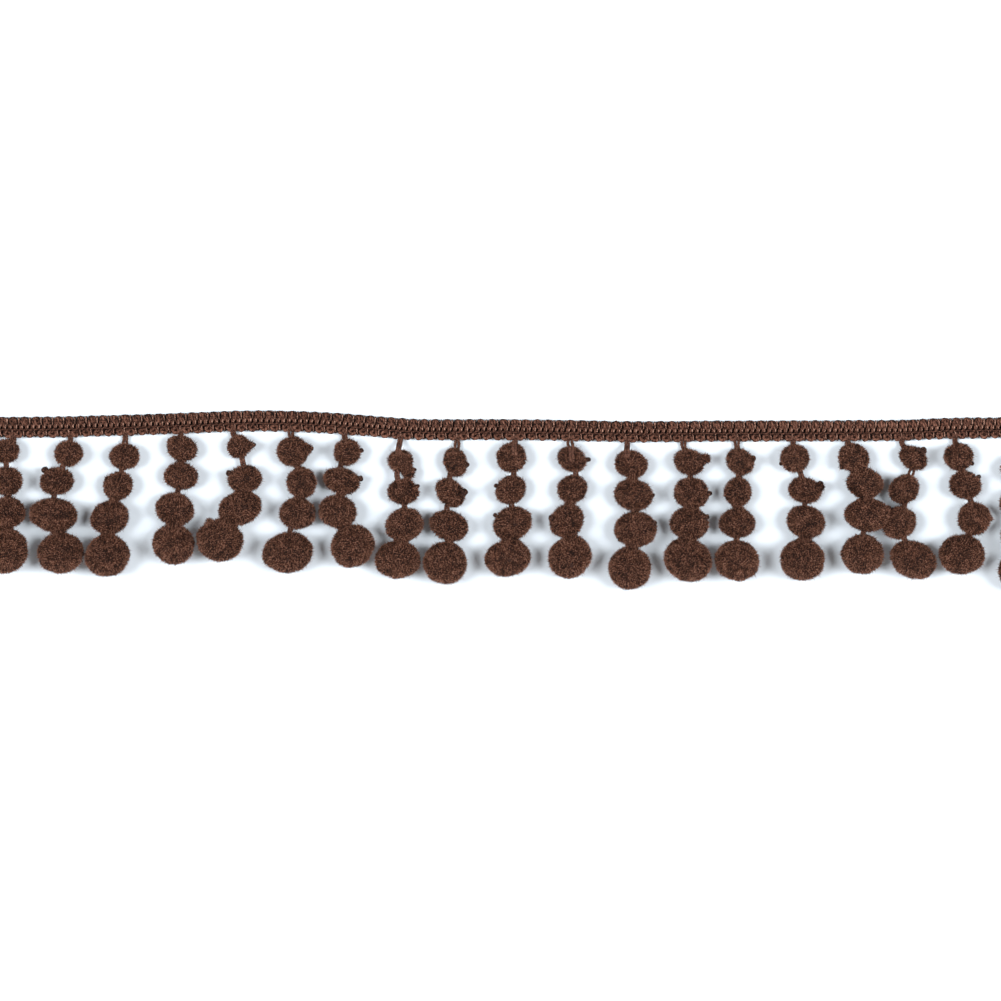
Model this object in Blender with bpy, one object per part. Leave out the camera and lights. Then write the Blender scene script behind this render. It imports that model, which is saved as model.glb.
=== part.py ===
"""Pompom fringe trim, laid flat on a table.

A narrow crocheted header runs along X. Nineteen drops hang from its lower edge, towards -Y, each a pair of
twisted threads that carries four cut-pile pompoms, the smallest next to the header. Both ends of the header are
cut plainly. The origin is on the table, under the middle of the trim, and +Z points up from the table.
"""

import math
from collections import namedtuple

import bmesh
import bpy
from mathutils import Matrix, Vector, noise

MM = 0.001

# Driving dimensions, in millimetres
HEADER_LENGTH = 483.0
HEADER_WIDTH = 9.4
STITCH_PITCH = 5.05
FIRST_STITCH = 1.5
THREAD_WIDTH = 2.4
THREAD_THICK = 1.5
THREAD_HEIGHT = 1.3
PIECE_GAP = 0.3

# Pompoms: height against their smaller width, how far they sink, how uneven the pile is, and their facets
POMPOM_HEIGHT_SHARE = 0.93
POMPOM_SINK_SHARE = 0.075
POMPOM_FOOT_SHARE = 0.36
POMPOM_LUMP_SHARE = 0.05
POMPOM_LUMP_SIZE = 6.0
SMALL_POMPOM_SIDES = 10
LARGE_POMPOM_SIDES = 12
LARGE_POMPOM_FROM = 16.0
POMPOM_BANDS = 6
NEIGHBOUR_REACH = 1.6

# The header's middle line as it lies on the table, in millimetres
Station = namedtuple("Station", "x y")
HEADER_LINE = (
    Station(-245.0, 33.2),
    Station(-225.0, 33.0),
    Station(-200.0, 33.2),
    Station(-175.0, 34.0),
    Station(-150.0, 34.7),
    Station(-125.0, 35.6),
    Station(-110.0, 36.0),
    Station(-90.0, 35.6),
    Station(-70.0, 34.5),
    Station(-50.0, 33.0),
    Station(-35.0, 32.3),
    Station(0.0, 32.1),
    Station(31.0, 31.6),
    Station(58.0, 31.1),
    Station(100.0, 31.4),
    Station(160.0, 31.7),
    Station(206.0, 32.8),
    Station(245.0, 32.8),
)

# The header's section, from under its lower edge, over its face, to under its upper edge. Place across the width
# runs from -1 to 1. The last two columns are how far a stitch swells outwards and upwards, in millimetres. The
# lower row's stitches lie half a pitch from the upper row's.
Ridge = namedtuple("Ridge", "across height row swell rise")
LOWER_ROW = 1
UPPER_ROW = 0
HEADER_SECTION = (
    Ridge(-0.80, 0.0, LOWER_ROW, 0.0, 0.0),
    Ridge(-0.90, 1.0, LOWER_ROW, 0.5, 0.1),
    Ridge(-0.55, 2.0, LOWER_ROW, 0.2, 0.6),
    Ridge(-0.08, 1.7, LOWER_ROW, 0.0, 0.2),
    Ridge(0.16, 1.8, UPPER_ROW, 0.0, 0.2),
    Ridge(0.62, 2.1, UPPER_ROW, 0.2, 0.8),
    Ridge(0.88, 1.1, UPPER_ROW, 0.6, 0.2),
    Ridge(0.80, 0.0, UPPER_ROW, 0.0, 0.0),
)

# The drops from left to right, in millimetres: where the threads leave the header, and then each pompom from the
# top down. A pompom has its middle, its width and height as it lies, how far it leans and how far it rides up
# on its neighbour. A loose tuft stands out from it in the direction tip, by reach.
Pompom = namedtuple("Pompom", "x y wide tall lean tip reach lift", defaults=(0.0, 0.0, 0.0, 0.0))
Drop = namedtuple("Drop", "root pompoms")
DROPS = (
    Drop(-219.5, (
        Pompom(-222.5, 22.3, 12.5, 11.5),
        Pompom(-222.0, 8.8, 14.0, 13.0),
        Pompom(-222.5, -5.5, 17.0, 14.0),
        Pompom(-223.0, -22.5, 20.0, 20.5),
    )),
    Drop(-193.5, (
        Pompom(-194.8, 21.3, 13.0, 12.0, tip=0, reach=1.0),
        Pompom(-199.8, 9.0, 15.8, 12.5, lean=10, tip=139, reach=1.8),
        Pompom(-200.0, -6.0, 20.0, 15.0, lean=-10, tip=14, reach=0.8),
        Pompom(-197.8, -23.5, 21.0, 18.5, tip=10, reach=1.2),
    )),
    Drop(-169.0, (
        Pompom(-169.5, 20.0, 13.5, 11.8),
        Pompom(-172.3, 6.3, 14.0, 13.3, tip=140, reach=1.4),
        Pompom(-176.0, -7.3, 18.0, 15.3, lean=10, tip=162, reach=0.8),
        Pompom(-176.8, -24.7, 20.0, 19.3),
    )),
    Drop(-144.7, (
        Pompom(-144.2, 24.0, 14.5, 12.0, lean=-8, tip=4, reach=0.8),
        Pompom(-143.6, 10.8, 15.5, 12.0, lean=-8, tip=13, reach=0.9),
        Pompom(-146.2, -3.3, 17.5, 15.0, tip=14, reach=0.8),
        Pompom(-147.5, -20.0, 18.8, 18.0),
    )),
    Drop(-119.8, (
        Pompom(-117.0, 24.3, 11.5, 11.0, tip=4, reach=2.2),
        Pompom(-115.5, 10.0, 16.0, 12.0, tip=157, reach=1.6),
        Pompom(-117.3, -4.0, 19.5, 15.0, lean=10, tip=133, reach=0.8),
        Pompom(-126.2, -18.2, 21.3, 18.5, tip=116, reach=1.6),
    )),
    Drop(-94.0, (
        Pompom(-93.5, 22.0, 14.5, 13.5, tip=9, reach=3.0),
        Pompom(-89.7, 8.3, 13.8, 14.3),
        Pompom(-91.3, -6.0, 16.0, 13.5, tip=4, reach=0.8),
        Pompom(-95.8, -23.5, 22.5, 18.5, tip=178, reach=1.0),
    )),
    Drop(-70.2, (
        Pompom(-69.3, 21.7, 12.0, 12.5, tip=13, reach=1.8),
        Pompom(-71.5, 9.3, 17.0, 12.0, lean=-10, tip=5, reach=1.4),
        Pompom(-73.2, -4.5, 17.5, 15.0, lean=-10),
        Pompom(-66.7, -20.3, 19.5, 19.3, lean=20, tip=161, reach=0.6),
    )),
    Drop(-45.2, (
        Pompom(-45.0, 16.7, 15.0, 11.3, lean=-45, tip=-25, reach=0.8),
        Pompom(-44.0, 4.0, 15.0, 11.5, lean=-5, tip=20, reach=0.8),
        Pompom(-43.3, -10.5, 17.0, 15.0, lean=20),
        Pompom(-46.8, -26.8, 20.0, 16.8),
    )),
    Drop(-19.8, (
        Pompom(-20.6, 17.3, 10.5, 13.5, tip=-13, reach=1.0),
        Pompom(-22.7, 3.5, 13.5, 12.5, lean=-40, tip=4, reach=1.4),
        Pompom(-23.3, -11.0, 18.0, 13.5, lean=-15, tip=18, reach=0.8),
        Pompom(-24.7, -28.5, 19.5, 19.3),
    )),
    Drop(6.5, (
        Pompom(4.9, 19.0, 13.6, 14.2),
        Pompom(4.2, 4.3, 15.3, 13.5, lean=15, tip=175, reach=0.8),
        Pompom(5.1, -10.0, 18.3, 15.0, lean=9),
        Pompom(3.2, -26.0, 21.0, 17.0, tip=150, reach=1.0),
    )),
    Drop(31.4, (
        Pompom(32.0, 18.5, 13.5, 11.8, lean=-15, tip=2, reach=2.2),
        Pompom(32.5, 5.1, 14.2, 12.8, lean=15),
        Pompom(29.8, -9.0, 16.3, 15.0, lean=25, tip=162, reach=0.9),
        Pompom(31.2, -25.3, 19.9, 18.8, tip=151, reach=0.6),
    )),
    Drop(57.3, (
        Pompom(59.0, 16.3, 15.5, 12.7, lean=-12),
        Pompom(59.7, 2.6, 18.0, 14.2, tip=3, reach=1.2),
        Pompom(60.8, -13.0, 19.3, 15.9, tip=16, reach=0.7),
        Pompom(58.3, -30.7, 19.7, 20.2, lean=30),
    )),
    Drop(82.3, (
        Pompom(84.2, 17.6, 13.5, 12.2, tip=10, reach=3.8),
        Pompom(86.0, 3.2, 16.0, 14.4),
        Pompom(85.2, -10.6, 17.8, 15.2, lean=-10, tip=24, reach=0.8),
        Pompom(84.6, -27.0, 22.0, 19.3),
    )),
    Drop(106.5, (
        Pompom(107.6, 17.7, 12.3, 12.9, lean=-20, tip=3, reach=2.4),
        Pompom(106.7, 3.5, 13.0, 13.8),
        Pompom(106.6, -10.5, 17.1, 13.9),
        Pompom(106.5, -27.3, 20.6, 18.6),
    )),
    Drop(132.0, (
        Pompom(132.4, 19.1, 13.6, 13.2, tip=210, reach=1.0),
        Pompom(137.0, 4.8, 16.0, 12.0, lean=-8, tip=12, reach=2.0),
        Pompom(137.7, -9.6, 17.8, 15.0, lean=-12),
        Pompom(136.0, -26.4, 20.6, 19.0, tip=154, reach=0.6),
    )),
    Drop(156.2, (
        Pompom(158.8, 19.6, 15.0, 12.2, lean=-25, tip=223, reach=1.6),
        Pompom(164.0, 7.4, 16.6, 13.4),
        Pompom(165.0, -6.4, 20.8, 15.2, tip=21, reach=0.8, lift=3.0),
        Pompom(162.9, -24.2, 19.2, 18.4),
    )),
    Drop(180.7, (
        Pompom(186.0, 19.2, 13.6, 10.4, lean=-33, tip=35, reach=1.8),
        Pompom(182.0, 5.0, 13.5, 13.8, lean=35),
        Pompom(179.3, -10.4, 15.5, 15.3),
        Pompom(185.3, -26.3, 21.5, 17.2, lean=-20),
    )),
    Drop(204.6, (
        Pompom(206.4, 19.6, 13.4, 12.7),
        Pompom(209.0, 6.9, 15.5, 13.0, tip=27, reach=1.4),
        Pompom(213.0, -8.0, 15.0, 15.2, tip=1, reach=1.6),
        Pompom(207.5, -24.0, 20.8, 18.3),
    )),
    Drop(230.5, (
        Pompom(231.3, 14.5, 13.0, 12.5),
        Pompom(231.6, -1.5, 14.8, 13.0),
        Pompom(232.0, -15.5, 17.5, 15.0),
        Pompom(232.6, -31.6, 19.6, 18.8),
    )),
)


def add_material(name, colour, roughness):
    """A plain fibre finish in one colour."""
    material = bpy.data.materials.new(name)
    material.use_nodes = True
    shader = material.node_tree.nodes["Principled BSDF"]
    shader.inputs["Base Color"].default_value = (*colour, 1.0)
    shader.inputs["Roughness"].default_value = roughness
    shader.inputs["Metallic"].default_value = 0.0
    material.diffuse_color = (*colour, 1.0)
    return material


def add_object(name, bm, origin, material=None):
    """The shape as an object with its origin at the given place, in millimetres."""
    bmesh.ops.transform(bm, matrix=Matrix.Scale(MM, 4) @ Matrix.Translation(-origin), verts=bm.verts)
    mesh = bpy.data.meshes.new(name)
    bm.to_mesh(mesh)
    bm.free()
    mesh.shade_smooth()
    piece = bpy.data.objects.new(name, mesh)
    piece.location = origin * MM
    bpy.context.scene.collection.objects.link(piece)
    if material:
        mesh.materials.append(material)
    return piece


def loft(rings):
    """A closed skin over equal rings of points, with a flat cap at each end."""
    bm = bmesh.new()
    loops = [[bm.verts.new(point) for point in ring] for ring in rings]
    for near, far in zip(loops, loops[1:]):
        for i in range(len(near)):
            j = (i + 1) % len(near)
            bm.faces.new((near[i], near[j], far[j], far[i]))
    bm.faces.new(loops[0])
    bm.faces.new(loops[-1])
    bmesh.ops.recalc_face_normals(bm, faces=bm.faces)
    return bm


def header_slope(i):
    """The middle line's slope at one of its stations."""
    before = HEADER_LINE[max(i - 1, 0)]
    after = HEADER_LINE[min(i + 1, len(HEADER_LINE) - 1)]
    return (after.y - before.y) / (after.x - before.x)


def header_y(x):
    """The middle line's place at x, on a smooth curve through the stations."""
    i = max(k for k, station in enumerate(HEADER_LINE[:-1]) if station.x <= x)
    start = HEADER_LINE[i]
    end = HEADER_LINE[i + 1]
    run = end.x - start.x
    t = (x - start.x) / run
    return (
        (2 * t**3 - 3 * t**2 + 1) * start.y
        + (t**3 - 2 * t**2 + t) * run * header_slope(i)
        + (3 * t**2 - 2 * t**3) * end.y
        + (t**3 - t**2) * run * header_slope(i + 1)
    )


def header_ring(x, row_at_crest):
    """The header's section at x, where one row of stitches is at its fullest and the other is drawn in."""
    ahead = Vector((2.0, header_y(x + 1.0) - header_y(x - 1.0), 0.0)).normalized()
    across = Vector((-ahead.y, ahead.x, 0.0))
    ring = []
    for ridge in HEADER_SECTION:
        full = ridge.row == row_at_crest
        place = ridge.across * HEADER_WIDTH / 2 + math.copysign(ridge.swell * full, ridge.across)
        height = ridge.height + ridge.rise * full
        ring.append(Vector((x, header_y(x), height)) + across * place)
    return ring


def build_header(material):
    """The crocheted band, with a row of plump stitches along each edge."""
    half = STITCH_PITCH / 2
    first = math.ceil((-HEADER_LENGTH / 2 - FIRST_STITCH) / half)
    last = math.floor((HEADER_LENGTH / 2 - FIRST_STITCH) / half)
    rings = [header_ring(FIRST_STITCH + k * half, k % 2) for k in range(first, last + 1)]
    return add_object("header", loft(rings), Vector((0.0, header_y(0.0), 0.0)), material)


def half_sizes(pompom):
    """Half of a pompom's width, height as it lies, and thickness off the table."""
    thick = POMPOM_HEIGHT_SHARE * min(pompom.wide, pompom.tall)
    return Vector((pompom.wide, pompom.tall, thick)) / 2


def middle(pompom):
    """A pompom's centre: it rests on the table and sinks in a little where it touches."""
    height = half_sizes(pompom).z * (1 - POMPOM_SINK_SHARE) + pompom.lift
    return Vector((pompom.x, pompom.y, height))


def reach_towards(pompom, direction):
    """How far a pompom reaches from its centre in one direction."""
    turned = Matrix.Rotation(-math.radians(pompom.lean), 3, "Z") @ direction
    return Vector(a * b for a, b in zip(half_sizes(pompom), turned)).length


def pressed_planes(pompom, drop):
    """Where a pompom meets those of other drops: a point and the direction that it can't pass."""
    planes = []
    for other_drop in DROPS:
        if other_drop is drop:
            continue
        for other in other_drop.pompoms:
            between = middle(other) - middle(pompom)
            direction = between.normalized()
            own = reach_towards(pompom, direction)
            theirs = reach_towards(other, direction)
            room = between.length - own - theirs
            if room < NEIGHBOUR_REACH:
                limit = own + room / 2 - PIECE_GAP / 2
                planes.append((middle(pompom) + direction * limit, direction))
    return planes


def pompom_shape(pompom, drop):
    """A lumpy ball of cut pile, flat where it rests and pressed flat where a neighbour pushes on it."""
    sides = LARGE_POMPOM_SIDES if pompom.wide >= LARGE_POMPOM_FROM else SMALL_POMPOM_SIDES
    bm = bmesh.new()
    bmesh.ops.create_uvsphere(bm, u_segments=sides, v_segments=POMPOM_BANDS, radius=1.0)
    lowest_ring = -math.cos(math.pi / POMPOM_BANDS)
    lean = Matrix.Rotation(math.radians(pompom.lean), 3, "Z")
    tuft = Vector((math.cos(math.radians(pompom.tip)), math.sin(math.radians(pompom.tip)), 0.0))
    turn = Matrix.Rotation(math.radians(pompom.tip), 3, "Z")
    planes = pressed_planes(pompom, drop)
    for vert in bm.verts:
        way = turn @ vert.co
        if abs(way.z - lowest_ring) < 0.01:
            flat = Vector((way.x, way.y, 0.0)).normalized() * POMPOM_FOOT_SHARE
            way = Vector((flat.x, flat.y, -math.sqrt(1 - POMPOM_FOOT_SHARE**2)))
        turned = lean.inverted() @ way
        offset = lean @ Vector(a * b for a, b in zip(half_sizes(pompom), turned))
        swell = noise.noise((middle(pompom) + offset) / POMPOM_LUMP_SIZE)
        offset *= 1 + POMPOM_LUMP_SHARE * swell
        if way.dot(tuft) > 0.99:
            offset += tuft * pompom.reach
        place = middle(pompom) + offset
        for point, direction in planes:
            past = (place - point).dot(direction)
            if past > 0:
                place -= direction * past
        place.z = max(place.z, 0.0)
        vert.co = place
    return bm


def thread_shape(drop):
    """The drop's two threads as one four-sided strand, from the header's lower edge to the last pompom."""
    edge = header_y(drop.root) - HEADER_WIDTH / 2 - PIECE_GAP
    path = [Vector((drop.root, edge, THREAD_HEIGHT))]
    path += [middle(pompom) for pompom in drop.pompoms]
    rings = []
    for i, point in enumerate(path):
        ahead = path[min(i + 1, len(path) - 1)] - path[max(i - 1, 0)]
        across = Vector((-ahead.y, ahead.x, 0.0)).normalized() * THREAD_WIDTH / 2
        if i == 0:
            across = Vector((THREAD_WIDTH / 2, 0.0, 0.0))
        up = Vector((0.0, 0.0, THREAD_THICK / 2))
        rings.append([point - across - up, point + across - up, point + across + up, point - across + up])
    return loft(rings)


def build_drop(number, drop, thread_material, pile_material):
    """One drop: its threads and its four pompoms, joined into one body."""
    name = f"drop_{number:02d}"
    root = Vector((drop.root, header_y(drop.root) - HEADER_WIDTH / 2 - PIECE_GAP, 0.0))
    strand = add_object(name, thread_shape(drop), root, thread_material)
    strand.data.materials.append(pile_material)
    for place, pompom in enumerate(drop.pompoms, 1):
        ball = add_object(f"{name}_pompom_{place}", pompom_shape(pompom, drop), middle(pompom), pile_material)
        ball.hide_render = True
        ball.display_type = "WIRE"
        join = strand.modifiers.new(f"pompom {place}", "BOOLEAN")
        join.operation = "UNION"
        join.object = ball
    return strand


def build_trim():
    """The whole trim, each piece under one empty."""
    trim = bpy.data.objects.new("trim", None)
    bpy.context.scene.collection.objects.link(trim)
    yarn = add_material("header yarn", (0.062, 0.028, 0.020), 0.75)
    thread = add_material("drop thread", (0.105, 0.047, 0.030), 0.8)
    pile = add_material("pompom pile", (0.055, 0.024, 0.017), 0.95)
    pieces = [build_header(yarn)]
    pieces += [build_drop(number, drop, thread, pile) for number, drop in enumerate(DROPS, 1)]
    for piece in pieces:
        piece.parent = trim


for old in list(bpy.data.objects):
    bpy.data.objects.remove(old)
build_trim()
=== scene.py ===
"""Pompom fringe trim, laid flat on a pale table, dressed with its yarns, threads and cut pile.

A brown crocheted header runs along X. From its lower edge hang nineteen drops, each a pair of twisted threads
that carries four pompoms. Tables are in millimetres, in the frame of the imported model.
"""
import math
from collections import namedtuple

import bmesh
import bpy
from mathutils import Matrix, Vector, noise


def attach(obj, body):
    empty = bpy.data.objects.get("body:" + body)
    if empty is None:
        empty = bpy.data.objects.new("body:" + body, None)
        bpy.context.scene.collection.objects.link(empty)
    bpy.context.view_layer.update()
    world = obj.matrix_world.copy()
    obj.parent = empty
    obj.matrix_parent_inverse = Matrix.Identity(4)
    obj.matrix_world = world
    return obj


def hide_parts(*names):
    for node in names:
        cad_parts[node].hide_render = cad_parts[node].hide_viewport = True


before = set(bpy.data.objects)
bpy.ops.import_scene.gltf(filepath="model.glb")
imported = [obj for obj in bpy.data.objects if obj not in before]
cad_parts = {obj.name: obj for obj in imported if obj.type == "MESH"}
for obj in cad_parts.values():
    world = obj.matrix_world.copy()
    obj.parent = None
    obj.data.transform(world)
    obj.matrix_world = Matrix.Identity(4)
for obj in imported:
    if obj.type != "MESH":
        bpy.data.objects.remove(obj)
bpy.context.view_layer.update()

MM = 0.001

# Vector noise starts from the clock unless it is given a seed.
NOISE_SEED = 5
noise.seed_set(NOISE_SEED)


# The header's ground
#
# The real piece is the crocheted band's own inside: packed weft yarns that the loops on its face hide. It is
# acrylic yarn, flat underneath, and the loops, the chains and the drops' threads are all worked through it.

Station = namedtuple("Station", "x y")
HEADER_LINE = [Station(*row) for row in (
    (-245.0, 33.2), (-225.0, 33.0), (-200.0, 33.2), (-175.0, 33.85), (-150.0, 34.6), (-125.0, 35.6),
    (-110.0, 35.9), (-90.0, 35.6), (-70.0, 34.5), (-50.0, 32.8), (-35.0, 32.0), (0.0, 32.0), (31.0, 31.6),
    (58.0, 31.05), (100.0, 31.3), (160.0, 31.5), (183.0, 31.75), (204.0, 32.6), (245.0, 32.8),
)]
LEFT_CUT = -240.8
RIGHT_CUT = 241.2
PITCH = 5.05
FIRST_STITCH = 1.5
Slip = namedtuple("Slip", "x by")
SLIPS = [Slip(*row) for row in (
    (-245.0, 0.3), (-190.0, 0.8), (-155.0, 0.7), (-120.0, 0.2), (-70.0, 0.2), (-45.0, -0.6), (-15.0, -0.4),
    (15.0, 0.0), (90.0, 0.2), (120.0, 0.0), (150.0, -0.6), (175.0, -1.1), (200.0, -2.6), (245.0, -2.8),
)]


def header_slope(i):
    """The middle line's slope at one of its stations."""
    before = HEADER_LINE[max(i - 1, 0)]
    after = HEADER_LINE[min(i + 1, len(HEADER_LINE) - 1)]
    return (after.y - before.y) / (after.x - before.x)


def header_y(x):
    """The middle line's place at x, on a smooth curve through the stations."""
    i = max(k for k, station in enumerate(HEADER_LINE[:-1]) if station.x <= x)
    start = HEADER_LINE[i]
    end = HEADER_LINE[i + 1]
    run = end.x - start.x
    t = (x - start.x) / run
    return (
        (2 * t**3 - 3 * t**2 + 1) * start.y
        + (t**3 - 2 * t**2 + t) * run * header_slope(i)
        + (3 * t**2 - 2 * t**3) * end.y
        + (t**3 - t**2) * run * header_slope(i + 1)
    )


def on_header(along, across, up):
    """A place on the header, from its distance along, its distance off the middle line and its height."""
    ahead = Vector((2.0, header_y(along + 1) - header_y(along - 1), 0.0)).normalized()
    return Vector((along - ahead.y * across, header_y(along) + ahead.x * across, up))


def worked(along):
    """Where a stitch really lies along the header: they are a little shorter or longer in places."""
    for near, far in zip(SLIPS, SLIPS[1:]):
        if along <= far.x:
            return along + near.by + (far.by - near.by) * (along - near.x) / (far.x - near.x)
    return along + SLIPS[-1].by


def step(tree, kind, feeds, **settings):
    """Adds a node, and feeds its sockets with plain values or with other nodes' sockets."""
    node = tree.nodes.new(kind)
    for name, value in settings.items():
        setattr(node, name, value)
    for name, value in feeds.items():
        if isinstance(value, bpy.types.NodeSocket):
            tree.links.new(value, node.inputs[name])
        else:
            node.inputs[name].default_value = value
    return node


def sums(tree, operation, *terms):
    """A Math node's result."""
    return step(tree, "ShaderNodeMath", dict(enumerate(terms)), operation=operation).outputs[0]


def vectors(tree, operation, *terms, **named):
    """A Vector Math node's result."""
    return step(tree, "ShaderNodeVectorMath", dict(enumerate(terms)) | named, operation=operation).outputs[0]


def fibre_group():
    """Loose fibres over any yarn or pile: a colour that runs from shadow to sheen, and a height for a bump."""
    tree = bpy.data.node_groups.new("fibre", "ShaderNodeTree")
    face = tree.interface
    for name, kind in (("Place", "Vector"), ("Fine", "Float"), ("Broad", "Float"), ("Contrast", "Float"),
                       ("Lift", "Float"), ("Dark", "Color"), ("Middle", "Color"), ("Light", "Color")):
        face.new_socket(name, in_out="INPUT", socket_type=f"NodeSocket{kind}")
    for name, kind in (("Colour", "Color"), ("Roughness", "Float"), ("Height", "Float")):
        face.new_socket(name, in_out="OUTPUT", socket_type=f"NodeSocket{kind}")
    given = tree.nodes.new("NodeGroupInput").outputs
    fine = step(tree, "ShaderNodeTexNoise", {"Vector": given["Place"], "Scale": given["Fine"], "Detail": 3.0,
                                             "Roughness": 0.65}).outputs["Fac"]
    broad = step(tree, "ShaderNodeTexNoise", {"Vector": given["Place"], "Scale": given["Broad"],
                                              "Detail": 2.0}).outputs["Fac"]
    both = sums(tree, "MULTIPLY_ADD", fine, given["Contrast"], sums(tree, "MULTIPLY_ADD", broad, 0.7, 0.15))
    both = sums(tree, "MULTIPLY_ADD", given["Contrast"], -0.5, both)
    # The Lift adds painted light and shade that the calling material makes.
    tone = sums(tree, "ADD", both, given["Lift"])
    ramp = step(tree, "ShaderNodeMapRange", {"Value": tone, "From Min": 0.10, "From Max": 0.50})
    upper = step(tree, "ShaderNodeMapRange", {"Value": tone, "From Min": 0.50, "From Max": 1.0})
    low = step(tree, "ShaderNodeMix", {"Factor": ramp.outputs[0], 6: given["Dark"], 7: given["Middle"]},
               data_type="RGBA")
    full = step(tree, "ShaderNodeMix", {"Factor": upper.outputs[0], 6: low.outputs[2], 7: given["Light"]},
                data_type="RGBA")
    rough = step(tree, "ShaderNodeMapRange", {"Value": fine, "To Min": 0.95, "To Max": 0.7})
    out = tree.nodes.new("NodeGroupOutput")
    tree.links.new(full.outputs[2], out.inputs["Colour"])
    tree.links.new(rough.outputs[0], out.inputs["Roughness"])
    tree.links.new(fine, out.inputs["Height"])
    return tree


FIBRE = fibre_group()


FIBRE_GLOSS = 0.15
FIBRE_RELIEF = 0.15


def fibre_finish(name, dark, middle, light, fine, broad, contrast, bump, place, lift=None):
    """A fibre material: place and lift are made in the material's own tree by the functions handed in."""
    material = bpy.data.materials.new(name)
    material.use_nodes = True
    tree = material.node_tree
    shader = tree.nodes["Principled BSDF"]
    shader.inputs["Specular IOR Level"].default_value = FIBRE_GLOSS
    fibres = step(tree, "ShaderNodeGroup",
                  {"Place": place(tree), "Lift": lift(tree) if lift else 0.0, "Fine": fine, "Broad": broad,
                   "Contrast": contrast, "Dark": (*dark, 1), "Middle": (*middle, 1), "Light": (*light, 1)},
                  node_tree=FIBRE).outputs
    relief = step(tree, "ShaderNodeBump",
                  {"Height": fibres["Height"], "Strength": bump, "Distance": FIBRE_RELIEF * MM}).outputs
    tree.links.new(fibres["Colour"], shader.inputs["Base Color"])
    tree.links.new(fibres["Roughness"], shader.inputs["Roughness"])
    tree.links.new(relief["Normal"], shader.inputs["Normal"])
    return material


def object_place(tree):
    """Object coordinates, in metres."""
    return tree.nodes.new("ShaderNodeTexCoord").outputs["Object"]


GROUND_RIB = 1.2625
GROUND_HALF = 3.7
GROUND_TOP = 0.75
GROUND_RELIEF = 0.2
GROUND_SECTION = ((-1.0, 0.3), (-0.94, 1.0), (-0.5, 1.1), (0.0, 0.95), (0.5, 1.1), (0.94, 1.0), (1.0, 0.3),
                  (0.9, 0.0), (0.0, 0.0), (-0.9, 0.0))


def ground_mesh():
    """A flat band with a low rib for each weft."""
    bm = bmesh.new()
    rows = []
    count = round((RIGHT_CUT - LEFT_CUT) / (GROUND_RIB / 2))
    for k in range(count + 1):
        along = LEFT_CUT + (RIGHT_CUT - LEFT_CUT) * k / count
        rib = GROUND_RELIEF * (k % 2)
        row = []
        for across, height in GROUND_SECTION:
            up = height * GROUND_TOP + (rib if height > 0.5 else 0.0)
            row.append(bm.verts.new(on_header(along, across * (GROUND_HALF + rib), up) * MM))
        rows.append(row)
    for near, far in zip(rows, rows[1:]):
        for i in range(len(near)):
            j = (i + 1) % len(near)
            bm.faces.new((near[i], near[j], far[j], far[i]))
    bm.faces.new(rows[0])
    bm.faces.new(rows[-1])
    bmesh.ops.recalc_face_normals(bm, faces=bm.faces)
    mesh = bpy.data.meshes.new("header_ground")
    bm.to_mesh(mesh)
    bm.free()
    mesh.shade_smooth()
    return mesh


def show(name, mesh, material=None):
    """Puts a mesh in the scene, as an object at the origin."""
    piece = bpy.data.objects.new(name, mesh)
    bpy.context.scene.collection.objects.link(piece)
    if material:
        mesh.materials.append(material)
    return piece


# The ground is coloured far darker than the face yarn: painted shade in the holes between the loops.
ground_painted_shade_finish = fibre_finish("header ground yarn painted shade", (0.004, 0.0015, 0.001), (0.020, 0.0075, 0.005),
                             (0.05, 0.02, 0.013), fine=4000.0, broad=900.0, contrast=1.5, bump=0.6,
                             place=object_place)
header_ground = show("header_ground", ground_mesh(), ground_painted_shade_finish)
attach(header_ground, "root")
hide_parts("header")


# The header's upper loops
#
# A plump acrylic yarn goes up, over the band's upper edge and down again at each stitch, and makes a round lump
# with a third strand in its middle. A thin yarn loops up between the lumps, and over the left two thirds a fine
# one draws each lump in across its face.

Knot = namedtuple("Knot", "along across up thick", defaults=(1.0,))
UPPER_LOOP = (
    Knot(-2.5, 0.9, 0.4, 0.5),
    Knot(-1.4, 0.7, 0.8, 0.7),
    Knot(-1.1, 1.4, 1.7),
    Knot(-1.15, 2.5, 2.0),
    Knot(-1.15, 3.5, 1.8),
    Knot(-0.85, 4.1, 1.4),
    Knot(0.85, 4.1, 1.4),
    Knot(1.15, 3.5, 1.8),
    Knot(1.15, 2.5, 2.0),
    Knot(1.1, 1.4, 1.7),
    Knot(1.4, 0.7, 0.8, 0.7),
)
UPPER_FILL = (
    Knot(-2.4, 1.6, 0.4, 0.5),
    Knot(-0.6, 0.8, 0.9, 0.7),
    Knot(0.0, 1.2, 2.1),
    Knot(0.0, 2.4, 2.6),
    Knot(0.0, 3.6, 2.3),
    Knot(0.0, 4.4, 1.3),
    Knot(0.4, 3.6, 0.5, 0.5),
)
THIN_LOOP = (
    Knot(2.3, 0.2, 0.7),
    Knot(2.4, 1.0, 1.4),
    Knot(2.4, 2.1, 2.2),
    Knot(2.4, 3.4, 2.3),
    Knot(2.45, 4.2, 1.8),
    Knot(2.5, 4.35, 0.9),
    Knot(2.7, 3.0, 0.4, 0.7),
    Knot(3.8, 0.8, 0.4, 0.7),
    Knot(5.8, 0.2, 0.4, 0.7),
)
CREASE = (
    Knot(-1.9, 2.1, 1.1),
    Knot(-1.1, 2.1, 2.4),
    Knot(0.0, 1.9, 2.9),
    Knot(1.1, 2.1, 2.4),
    Knot(1.9, 2.1, 1.1),
    Knot(2.5, 2.2, 0.7),
)
CREASE_END = 78.0
CREASE_DEPTH = 0.7
CREASE_PLACE = 2.6
CREASE_HALF = 0.5
CUT_CLEAR = 0.5
YARN_CLEAR = 0.2


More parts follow.
